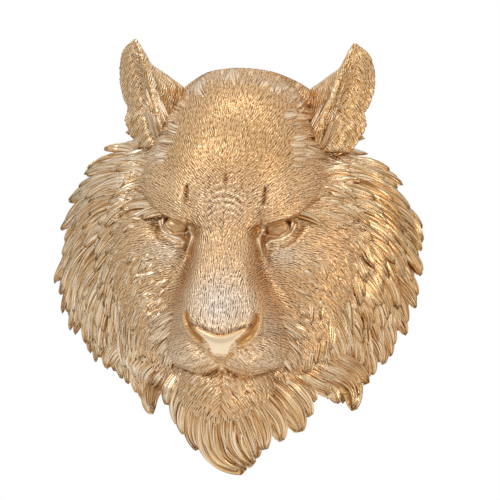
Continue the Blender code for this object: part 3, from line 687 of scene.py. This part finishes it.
def grooves(rng, count, depth):  # place across, drift, width and depth of the gaps between strands
    return [(-0.9 + 1.8 * (k + rng.uniform(0.25, 0.75)) / count, rng.uniform(-0.18, 0.18),
             rng.uniform(0.04, 0.08), depth * rng.uniform(0.25, 0.55)) for k in range(count)]


def lockOf(rng, root, tip, strands, points, depth=1.0, **form):
    # The grooves and the phase of the strands are drawn last, after what the call itself draws
    return dict(form, root=root, tip=tip, points=points, grooves=grooves(rng, strands, depth),
                phase=rng.uniform(0, 6))


def ahead(root, side, reach, angle):
    return (root[0] + side * reach * math.cos(angle), root[1] + reach * math.sin(angle))


def lockSurface(lock, t, turn):
    s, line = lockLine(lock)
    tangent = unit(np.gradient(line, s, axis=0))
    x, z, step, tilt = line[:, 0], line[:, 2], 3.0, lock["tilt"]
    slopeX = (carrier(x + step, z) - carrier(x - step, z)) / (2 * step)
    slopeZ = (carrier(x, z + step) - carrier(x, z - step)) / (2 * step)
    normal = np.stack([-np.clip(slopeX, -tilt, tilt), -np.ones_like(x), -np.clip(slopeZ, -tilt, tilt)], -1)
    normal = unit(soften(normal - (normal * tangent).sum(1, keepdims=True) * tangent))
    across = np.cross(tangent, normal)
    c, si = np.cos(turn), np.sin(turn)
    strand = np.ones_like(t)
    for at, drift, width, deep in lock["grooves"]:
        strand -= deep * np.exp(-((c - at * (1 - 0.25 * t) - drift * t) / width) ** 2)
    strand = np.clip(strand, 0.15, 1) * (1 - 0.20 * (0.5 + 0.5 * np.sin(c * 29 + lock["phase"] + 4 * t)))
    along = t * (1 - 0.20 * (1 - strand) * ease(t, 0.45, 1.0))
    p, n, b = (np.stack([np.interp(along, s, rows[:, k]) for k in range(3)], -1)
               for rows in (line, normal, across))
    taper = lock["taper"]
    widest = 0.42 / (0.42 + taper)
    full = widest ** 0.42 * (1 - widest) ** taper
    half = lock["width"] / 2 * t ** 0.42 * (1 - t) ** taper / full
    thick = lock["thick"] * t ** 0.4 * (1 - t) ** 0.5 / 0.6
    lift = np.where(si > 0, si ** 0.85 * strand, 0.5 * si)
    places = p + b * (half * c)[..., None] + n * (thick * lift)[..., None]
    # Painted shade along the lock's edges and beneath it, and towards its root where it goes under the lock
    # above; the gaps between strands are darker as patina
    edgeShade = np.where(si > 0, 0.30 + 0.70 * np.maximum(si, 0) ** 0.5, 0.15)
    relief = (0.24 + 0.62 * (strand - 0.30) / 0.70) * edgeShade * (0.50 + 0.50 * ease(t, 0.05, 0.4))
    relief = relief + (0.50 - relief) * ease(t, 0.84, 0.95)
    long = math.dist(lock["root"], lock["tip"])
    comb = np.stack([0.5 * lock["width"] * c, long * t, np.full_like(t, 7.3 * lock["number"])], -1)
    return places, relief, comb


def tierOfLocks(side, tier, seed, values):
    rootShare, tipShare, turn, last, length, width, thick, lift, gap, extra, points = tier
    rng = random.Random(seed)
    locks = []
    while turn < last:
        radius = float(outlineRadius(turn)) * (rootShare + rng.uniform(-0.03, 0.03))
        wide = width * rng.uniform(0.8, 1.25)
        lean = float(np.interp(turn, *np.array(values["lean"], float).T)) + extra + rng.uniform(-8, 8)
        run, at = math.radians(lean + 4), math.radians(turn)
        root = (side * radius * math.sin(at), radius * math.cos(at))
        if abs(root[0]) < 66 and root[1] < 34 or root[1] < -92:  # the face itself has short fur
            turn += math.degrees(gap * wide / radius)
            continue
        goal = tipShare * rng.uniform(0.965, 1.02)
        long, tip = 0.62 * length, root
        while long < 1.35 * length:
            tip = ahead(root, side, long, -run)
            reach = float(through(math.degrees(math.atan2(abs(tip[0]), tip[1])), values["reach"][side]))
            if math.hypot(*tip) > reach * goal:
                break
            long += 1.0
        locks.append(lockOf(rng, root, tip, max(3, round(wide / 2.5)), points,
                            bow=side * rng.uniform(0.10, 0.24), width=wide,
                            thick=thick * rng.uniform(0.8, 1.2), sink=5.0, rise=lift * rng.uniform(0.7, 1.3),
                            tilt=1.6, taper=rng.uniform(0.44, 0.62)))
        turn += math.degrees(gap * wide / radius)
    return locks


def ballGrid(around, along):
    # A ball, and for each of its points the share of the way down, the turn, and whether it is a pole
    bm = bmesh.new()
    bmesh.ops.create_uvsphere(bm, u_segments=around, v_segments=along, radius=1.0)
    x, y, z = np.array([vert.co for vert in bm.verts]).T
    return bm, np.arccos(np.clip(z, -1, 1)) / np.pi, np.arctan2(y, x) % (2 * np.pi), np.hypot(x, y) < 1e-6


def lockPiece(name, locks, pale=0.0):
    # One closed ball for each lock, then every ball is drawn out into its own lock
    bm = bmesh.new()
    places, relief, comb = [], [], []
    templates = {}
    shown = 0.74  # most of the points go to the side that shows
    for number, lock in enumerate(locks):
        lock["number"] = number
        if lock["points"] not in templates:
            shape, t, turn, pole = ballGrid(*lock["points"])
            share = turn / (2 * np.pi)
            share[pole] = 0.0
            front = np.clip(share / shown, 0, 1)
            turnFront = 0.55 * np.arccos(1 - 2 * front) + 0.45 * np.pi * front
            turn = np.where(share < shown, turnFront, np.pi + np.pi * (share - shown) / (1 - shown))
            templates[lock["points"]] = (toMesh("lock_ball", shape), t, turn)
        mesh, t, turn = templates[lock["points"]]
        bm.from_mesh(mesh)
        where, tone, lie = lockSurface(lock, t, turn)
        places.append(where)
        relief.append(tone)
        comb.append(lie)
    marks = dict(relief=np.concatenate(relief), comb=np.concatenate(comb), pale=pale)
    piece = finishPiece(name, bm, np.concatenate(places), marks, lockGold)
    for mesh, _, _ in templates.values():
        bpy.data.meshes.remove(mesh)
    print(name, len(locks), "locks", sum(len(face.vertices) - 2 for face in piece.data.polygons), "triangles")


for side, name in ((-1, "mane_left"), (1, "mane_right")):
    manyLocks = []
    for k, tier in enumerate(maneValues["tiers"]):
        manyLocks += tierOfLocks(side, tier, 350 + 50 * side + k, maneValues)
    lockPiece(name, manyLocks)
print("Mane done")

# The hooked locks of the jaw and of the beard's middle, and rows of finer locks from the lip down
beardValues = dict(
    # root and tip, bow, hook of the tip, width, lift
    bigLocks=[
        ((-96, -80), (-124, -113), -0.12, -0.15, 20, 14), ((-80, -86), (-89, -126), -0.14, -0.20, 24, 15),
        ((-68, -88), (-92, -135), -0.18, -0.20, 22, 16), ((-56, -90), (-84, -142), -0.20, -0.25, 24, 17),
        ((-44, -96), (-70, -149), -0.20, -0.30, 30, 18), ((-34, -104), (-52, -139), -0.12, -0.15, 20, 12),
        ((80, -84), (122, -120), 0.02, 0.10, 22, 17), ((66, -86), (113, -131), 0.05, 0.14, 22, 18),
        ((50, -96), (97, -137), 0.06, 0.14, 22, 18), ((58, -90), (108, -145), 0.20, 0.30, 28, 20),
        ((54, -98), (88, -128), 0.12, 0.12, 20, 17), ((46, -104), (77, -133), 0.10, 0.10, 20, 17),
        ((38, -110), (73, -147), 0.10, 0.12, 24, 17), ((30, -112), (65, -162), 0.10, 0.14, 26, 18),
        ((26, -118), (49, -168), 0.08, 0.12, 22, 16), ((-33, -114), (-42, -156), -0.10, -0.15, 18, 9),
        ((-27, -122), (-35, -164), -0.10, -0.18, 18, 10), ((12, -122), (28, -184), 0.02, 0.04, 22, 13),
        ((-18, -124), (-21, -178), -0.12, -0.20, 22, 12), ((19, -122), (35, -176), 0.06, 0.10, 22, 14),
        ((-8, -124), (-8, -184), -0.12, -0.20, 20, 12), ((14, -126), (29, -190), -0.14, -0.24, 26, 16),
        ((4, -124), (23, -194), -0.22, -0.40, 38, 19)],
    # height, half width, number, length, width, lift of the tips
    rows=[(-138, 25, 8, 31, 9.5, 3.0), (-129, 30, 11, 19, 5.6, 1.6), (-124, 32, 13, 17, 5.2, 1.8),
          (-119, 31, 13, 16, 5.0, 2.0), (-114, 29, 12, 15, 4.8, 2.2), (-110, 24, 11, 15, 4.6, 2.4),
          (-106, 18, 9, 13, 4.2, 2.2)],
    top=-104, tip=(17.0, -200.0))


def hookedLocks(values, rng):
    locks = []
    for root, tip, bow, hook, width, lift in values["bigLocks"]:
        locks.append(lockOf(rng, root, tip, max(6, round(width / 2.4)), (52, 24), 0.55, bow=bow, hook=hook,
                            width=width, thick=4 + width * 0.16, sink=8.0, rise=lift, tilt=0.7, taper=0.45))
    return locks


def beardRows(values, rng):
    locks = []
    for height, half, count, length, width, lift in values["rows"]:
        down = (values["top"] - height) / (values["top"] - values["tip"][1])
        middle = values["tip"][0] * down ** 1.2
        for k in range(count):
            away = half * (-1 + 2 * (k + rng.uniform(0.3, 0.7)) / count)
            z = height + 0.10 * abs(away) + rng.uniform(-3, 3)
            out = math.copysign(46 + min(abs(away) * 0.3, 8), away) * (1 - down) ** 1.4
            angle = math.radians(out + rng.uniform(-8, 8) + 8 * down)
            long = length * rng.uniform(0.85, 1.2)
            root = (middle + away, z)
            tip = (root[0] + long * math.sin(angle), root[1] - long * math.cos(angle))
            locks.append(lockOf(rng, root, tip, 2, (20, 11), bow=math.copysign(rng.uniform(0.05, 0.16), away),
                                width=width * rng.uniform(0.85, 1.2), thick=3 + width * 0.2, sink=2.5,
                                rise=lift, tilt=1.0, taper=0.52))
    return locks


rngBeard = random.Random(77)
lockPiece("jaw_and_beard", hookedLocks(beardValues, rngBeard) + beardRows(beardValues, rngBeard))
print("Beard done")

# The ears: outer edge, fold and inner edge by height, then the depths of edge, fold, inner edge and cup
earValues = dict(
    sections=[(96, 99, 66, 50, 34, 60, 40, 46), (105, 104, 69, 52, 29, 64, 34, 42),
              (116, 110.5, 73.5, 54, 25, 65, 28, 38), (123.5, 113.3, 75.5, 55, 23, 63, 26, 36),
              (130, 112, 77.5, 56, 22, 60, 24, 34), (135, 110.8, 79.5, 57, 22, 58, 23, 33),
              (140, 113.5, 81.5, 57.5, 21, 56, 22, 32), (149, 117.3, 84, 59, 20, 53, 21, 30),
              (156, 119, 86.5, 60.5, 20, 51, 21, 30), (161, 119.5, 88, 67.7, 21, 50, 24, 31),
              (168, 119.8, 90.5, 77.5, 23, 49, 29, 33), (174, 119.6, 93, 87, 26, 49, 36, 36),
              (183, 117, 96, 92.8, 32, 48, 42, 41), (190, 111.8, 98.8, 97.3, 39, 47, 45, 44),
              (196, 103.5, 102.5, 102.2, 46, 47, 46.5, 46.5)],
    around=180, along=112, hairs=9000)


def earCurve(z, column):
    return through(z, [(row[0], row[column]) for row in earValues["sections"]])


def earSurface(side, t, turn):
    low, high = earValues["sections"][0][0], earValues["sections"][-1][0]
    z = low + (high - low) * (1 - (1 - t) ** 1.5)
    outer, fold, inner, outerDepth, foldDepth, innerDepth, cupDepth = (earCurve(z, k) for k in range(1, 8))
    cup = 0.45 * outer + 0.55 * fold
    w = np.where(turn <= np.pi, turn, 2 * np.pi - turn) / np.pi
    toCup, toFold, toHead = (np.clip((w - start) / span, 0, 1)
                             for start, span in ((0.0, 0.36), (0.36, 0.32), (0.68, 0.32)))
    x = outer + (cup - outer) * toCup + (fold - cup) * toFold + (inner - fold) * toHead
    d = (outerDepth + (cupDepth - outerDepth) * toCup ** 2 * (3 - 2 * toCup)
         + (foldDepth - cupDepth) * toFold ** 1.5 + (innerDepth - foldDepth) * toHead ** 0.85)
    flank = np.abs(np.sin(turn)) ** 0.5 * np.sign(np.sin(turn))
    d = d + (3.6 + 1.8 * (1 - t)) * flank * (1 - t) ** 0.22
    return np.stack([side * x, -d, z], -1)


def makeEar(side, name, seed):
    around, along = earValues["around"], earValues["along"]
    t, turn = np.meshgrid(np.linspace(0, 1, along + 1), np.linspace(0, 2 * np.pi, around + 1), indexing="ij")
    points = earSurface(side, t, turn)
    centre = points.mean(axis=1, keepdims=True)
    outward = unit(points - centre) + np.array([0, -1.0, 0]) * np.sign(np.sin(turn))[..., None] * 3
    normal = gridNormals(points, outward)
    # Hairs sweep out and down over the cup, and up along the fold
    w = np.where(turn <= np.pi, turn, 2 * np.pi - turn) / np.pi
    angle = np.radians(-52 + 150 * ease(w, 0.40, 0.66))
    flow = np.stack([side * np.cos(angle), 0 * t, np.sin(angle)], -1)
    front = ease(np.sin(turn), 0.02, 0.2)
    back = (turn > np.pi) | (w > 0.72)
    high = np.where(back, 0.45, 1.25 * front + 0.2) * ease(1 - t, 0.0, 0.06)
    hair = combFur(points, normal, flow, np.full_like(t, 17.0), np.full_like(t, 2.1), 1.2 * high,
                   earValues["hairs"], seed, 7.0)
    places = points + normal * hair[..., None]
    shade = 0.58 + 0.50 * evenRelief(hair, 9)
    bm, down, ballTurn, pole = ballGrid(around, along)
    i = np.round((1 - down) * along).astype(int)
    j = np.round(ballTurn / (2 * np.pi) * around).astype(int) % around
    where = places[i, j]
    where[pole] = places[i[pole]].mean(axis=1)
    lie = halfTurn(np.broadcast_to(angle * side + (side < 0) * np.pi, t.shape))
    finishPiece(name, bm, where, dict(relief=shade[i, j], lie=lie[i, j]), furGold)


makeEar(-1, "ear_left", 21)
makeEar(1, "ear_right", 22)
print("Ears done")

# Small tufts along the crown: places (x, z), and three taller peaks with the way they lean
crownValues = dict(
    places=[(-62, 138), (-56, 148), (-49, 156), (-39, 162), (-27, 166), (-14, 169), (2, 170), (15, 169),
            (28, 166), (40, 161), (50, 155), (57, 147), (63, 138)],
    length=9, width=4.6, perPlace=5, highest=174.5,
    peaks=[(-36, 152, -30), (-8, 163, -10), (70, 140, 30)], peakLength=9, peakSpread=5)
# Rows of hairs at the side of the forehead: distance from the middle, length, lowest place
templeRows = [(56, 20, 76), (63, 24, 66), (70, 28, 58), (77, 32, 52), (84, 36, 47), (90, 36, 44)]


def crownTufts(values, rng):
    locks = []
    for x, z, angle in values["peaks"]:
        lean = math.radians(angle)
        tip = (x + values["peakLength"] * math.sin(lean), z + values["peakLength"] * math.cos(lean))
        for k in (-1, 0, 1):
            root = (x + values["peakSpread"] * (k - math.sin(lean)), z - 12)
            locks.append(lockOf(rng, root, tip, 3, (24, 12), bow=0.12 * k, width=9, thick=3.0, sink=2.0,
                                rise=2.0, tilt=1.6, taper=0.55))
    for x, z in values["places"]:
        for _ in range(values["perPlace"]):
            root = (x + rng.uniform(-7, 7), z - rng.uniform(6, 20))
            angle = math.atan2(root[0], root[1]) * 1.3 + rng.uniform(-0.35, 0.35)
            long = values["length"] * rng.uniform(0.7, 1.2)
            tip = (root[0] + long * math.sin(angle), min(root[1] + long * math.cos(angle), values["highest"]))
            locks.append(lockOf(rng, root, tip, 2, (14, 8), bow=rng.uniform(-0.12, 0.12),
                                width=values["width"] * rng.uniform(0.7, 1.2), thick=1.8, sink=1.6, rise=0.8,
                                tilt=1.6, taper=0.6))
    return locks


def templeTufts(side, rng):
    # Hairs that sweep out from the side of the forehead over the start of the mane
    locks = []
    for row, (near, long, lowest) in enumerate(templeRows):
        for z in np.arange(lowest, 134, 6.0):
            middle = 4.0 if z < 90 else 2.0
            a = near * (1 - 0.0016 * max(z - 60, 0) ** 1.15) + rng.uniform(-6, 6)
            angle = math.radians(-14 + 0.42 * (z - 40) + rng.uniform(-10, 10) - 6 * row)
            reach = long * rng.uniform(0.8, 1.2)
            root = (side * a - middle, z + rng.uniform(-2, 2))
            locks.append(lockOf(rng, root, ahead(root, side, reach, angle), 3, (16, 10),
                                bow=-side * rng.uniform(0.06, 0.20), width=rng.uniform(6.5, 9.0) + 0.5 * row,
                                thick=1.8 + 0.4 * row, sink=2.4, rise=1.2 + 0.6 * row, tilt=1.6, taper=0.6))
    return locks


def cheekTufts(side, rng):
    # Short rough tufts between the eye and the mane
    locks = []
    for z in np.arange(92, -92, -6.0):
        nearest = 58 + 0.06 * abs(z + 20) if z < 4 else 76 if z < 24 else 88 - 0.16 * abs(z - 60)
        for a in np.arange(nearest, 106 if z < 50 else 98, 6.0):
            if rng.random() < 0.12:
                continue
            root = (side * (a + rng.uniform(-3, 3)) + 2, z + rng.uniform(-3, 3))
            angle = float(flowAngle(a, z)) + math.radians(rng.uniform(-30, 30))
            reach = rng.uniform(10, 16) + 0.08 * (a - 58)
            rise = 2.6 + 0.03 * (a - 58) + (2.5 if z > 24 else 0)
            locks.append(lockOf(rng, root, ahead(root, side, reach, angle), 2, (12, 7),
                                bow=side * rng.uniform(-0.16, 0.22), width=rng.uniform(4.0, 6.0), thick=2.6,
                                sink=2.2, rise=rise, tilt=1.6, taper=0.6))
    return locks


def whiskerLocks(side, rng, count=40):
    # Locks that run from the side of the muzzle over the jowl
    locks = []
    for k in range(count):
        z = -54 - 0.78 * k + rng.uniform(-1.5, 1.5)
        a = 42 + 4 * math.sin(math.pi * k / (count - 1)) + rng.uniform(0, 9)
        angle = math.radians(-26 - 1.0 * k + rng.uniform(-10, 10))
        reach = rng.uniform(20, 30)
        root = (side * a + (2 if z < -60 else 0), z)
        tip = ahead(root, side, reach, angle)
        ends = [float(headForm(np.array([spot[0]]), np.array([spot[1]]))[0]) for spot in (root, tip)]
        locks.append(lockOf(rng, root, tip, 4, (18, 10), depths=ends, bow=side * rng.uniform(0.06, 0.16),
                            width=rng.uniform(4, 7), thick=2.2, sink=5.0, rise=2.4, tilt=1.6, taper=0.55))
    return locks


def earHairs(side, rng):
    # Long hairs that run up the fold of the ear
    locks = []
    for k in range(13):
        rootX, rootZ = 60 + 1.6 * k + rng.uniform(-2, 2), 103 + rng.uniform(-6, 9)
        long = rng.uniform(34, 62) * (1 - 0.02 * k)
        tipX, tipZ = rootX + long * (0.40 - 0.008 * k), rootZ + long * 0.92
        ends = (68 - 0.7 * k, float(earCurve(tipZ, 5)) + 1)
        locks.append(lockOf(rng, (side * rootX, rootZ), (side * tipX, tipZ), 3, (18, 11), depths=ends,
                            bow=side * rng.uniform(-0.10, 0.04), width=rng.uniform(5, 8), thick=3.4, sink=4.0,
                            rise=1.5, tilt=1.0, taper=0.8))
    return locks


rngTop = random.Random(5)
topLocks = crownTufts(crownValues, rngTop)
for side in (-1, 1):
    topLocks += templeTufts(side, rngTop) + earHairs(side, rngTop)
    topLocks += whiskerLocks(side, rngTop) + cheekTufts(side, rngTop)
lockPiece("crown_temple_and_cheek_locks", topLocks, 0.2)
print("Small locks done")

# The body behind: the flanks, the flat back, and the blind hole that the head hangs on
backValues = dict(around=160, along=110, holeHeight=112.0, holeRadius=5.0, holeDepth=16.0, slot=14.0)


def makeBody(values):
    bm, t, turn, _ = ballGrid(values["around"], values["along"])
    fromTop = np.degrees(np.where(turn > np.pi, 2 * np.pi - turn, turn))
    radius, drawIn = outlineRadius(fromTop), through(fromTop, headValues["drawIn"])
    face, flank, back = np.clip(2 * t, 0, 1), np.clip((t - 0.5) / 0.1, 0, 1), np.clip((1 - t) / 0.4, 0, 1)
    far = radius * np.sin(face * np.pi / 2) ** 0.9 * (1 - drawIn * flank ** 1.6) * back
    x, z = far * np.sin(turn), far * np.cos(turn)
    rimDepth = headForm(radius * np.sin(turn), radius * np.cos(turn))
    inner = through(np.degrees(np.arctan2(np.abs(x), z)), faceValues["edge"]) - np.hypot(x, z)
    sunk = 3.0 * ease(1 - 2 * t, 0, 0.08) + 26.0 * ease(inner, 3, 20)  # far enough to clear the eye sockets
    d = np.where(t > 0.5, rimDepth * (1 - flank), headForm(x, z) - sunk)
    d = np.where(flank >= 1, 0.0, d)
    bump = 0.8 * np.sin(turn * 90 + 6 * np.sin(turn * 7)) * np.sin(np.pi * flank)
    where = np.stack([x + bump * np.sin(turn), -d, z + bump * np.cos(turn)], -1)
    marks = dict(fur=1 - ease(flank, 0.7, 0.98), lie=halfTurn(np.pi - turn))
    piece = finishPiece("back_body", bm, where, marks, furGold, sharp=50)
    # The hanging hole, cut as a round hole with a slot above it
    radius, depth = values["holeRadius"], 2 * values["holeDepth"]
    upright = Quaternion((1, 0, 0), math.pi / 2).to_matrix()
    bm = bmesh.new()
    bmesh.ops.create_cone(bm, cap_ends=True, segments=32, radius1=radius, radius2=radius, depth=depth)
    bmesh.ops.rotate(bm, verts=bm.verts, cent=(0, 0, 0), matrix=upright)
    bmesh.ops.translate(bm, verts=[vert for vert in bm.verts if vert.co.z > 1e-6], vec=(0, 0, values["slot"]))
    bmesh.ops.translate(bm, verts=bm.verts, vec=(0, 0, values["holeHeight"]))
    bmesh.ops.scale(bm, verts=bm.verts, vec=(mm, mm, mm))
    bm.normal_update()
    bmesh.ops.recalc_face_normals(bm, faces=bm.faces)
    cutter = addObject("hole_cutter", toMesh("hole_cutter", bm))
    cut = piece.modifiers.new("Hanging hole", "BOOLEAN")
    cut.object = cutter
    cut.solver = "EXACT"
    bpy.context.view_layer.update()
    done = bpy.data.meshes.new_from_object(piece.evaluated_get(bpy.context.evaluated_depsgraph_get()))
    piece.modifiers.clear()
    piece.data = done
    bpy.data.objects.remove(cutter)


makeBody(backValues)
print("Back done")

# The studio: a pale round floor well below, a bright room, a large soft light from the upper left
studioValues = dict(
    floor=-0.46, floorRadius=1.25, floorColour=(0.86, 0.85, 0.84, 1), floorRoughness=0.8, room=0.92,
    roomColours=[(0.25, (0.36, 0.28, 0.20, 1)), (0.80, (1.0, 0.97, 0.92, 1))], aim=(0, -0.08, 0),
    # place, size, power, colour
    lights=dict(key=((-0.9, -1.5, 0.9), 0.9, 7.0, (1.0, 0.98, 0.96)),
                front=((0.5, -2.2, 0.5), 1.0, 1.0, (1.0, 0.97, 0.93)),
                fill=((1.6, -0.9, 0.0), 0.7, 5.5, (1.0, 0.84, 0.64)),
                top=((0.1, -0.4, 1.6), 0.6, 3.5, (1.0, 0.98, 0.95))))


def softLight(name, place, size, power, colour, aim):
    light = bpy.data.lights.new(name, "AREA")
    light.shape = "DISK"
    light.size = size
    light.energy = power
    light.color = colour
    lamp = addObject(name, light)
    lamp.location = place
    lamp.rotation_euler = (Vector(aim) - Vector(place)).to_track_quat("-Z", "Y").to_euler()


def makeStudio(values):
    bm = bmesh.new()
    bmesh.ops.create_circle(bm, cap_ends=True, segments=96, radius=values["floorRadius"])
    bmesh.ops.translate(bm, verts=bm.verts, vec=(0, -0.1, values["floor"]))
    floor = addObject("floor", toMesh("floor", bm))
    pale = bpy.data.materials.new("pale_floor")
    pale.use_nodes = True
    setInputs(pale.node_tree, pale.node_tree.nodes["Principled BSDF"],
              {"Base Color": values["floorColour"], "Roughness": values["floorRoughness"]})
    floor.data.materials.append(pale)
    # The room is white to the eye, and falls off to the sides and below in reflections
    world = bpy.data.worlds.new("room")
    bpy.context.scene.world = world
    world.use_nodes = True
    tree = world.node_tree
    seen = tree.nodes["Background"]
    setInputs(tree, seen, {"Color": (1, 1, 1, 1), "Strength": 1.0})
    place = addNode(tree, "ShaderNodeTexCoord", {})["Generated"]
    height = addNode(tree, "ShaderNodeSeparateXYZ", {"Vector": place})["Z"]
    rise = addNode(tree, "ShaderNodeMapRange", {"Value": height, "From Min": -1.0, "From Max": 1.0})["Result"]
    colour = colourRamp(tree, rise, values["roomColours"])
    lit = addNode(tree, "ShaderNodeBackground", {"Color": colour, "Strength": values["room"]})["Background"]
    direct = addNode(tree, "ShaderNodeLightPath", {})["Is Camera Ray"]
    choose = addNode(tree, "ShaderNodeMixShader", {"Fac": direct, 1: lit, 2: seen.outputs["Background"]})
    setInputs(tree, tree.nodes["World Output"], {"Surface": choose["Shader"]})
    for name, light in values["lights"].items():
        softLight(name, *light, values["aim"])


makeStudio(studioValues)
bpy.context.scene.view_settings.view_transform = "Standard"
print("Studio done")
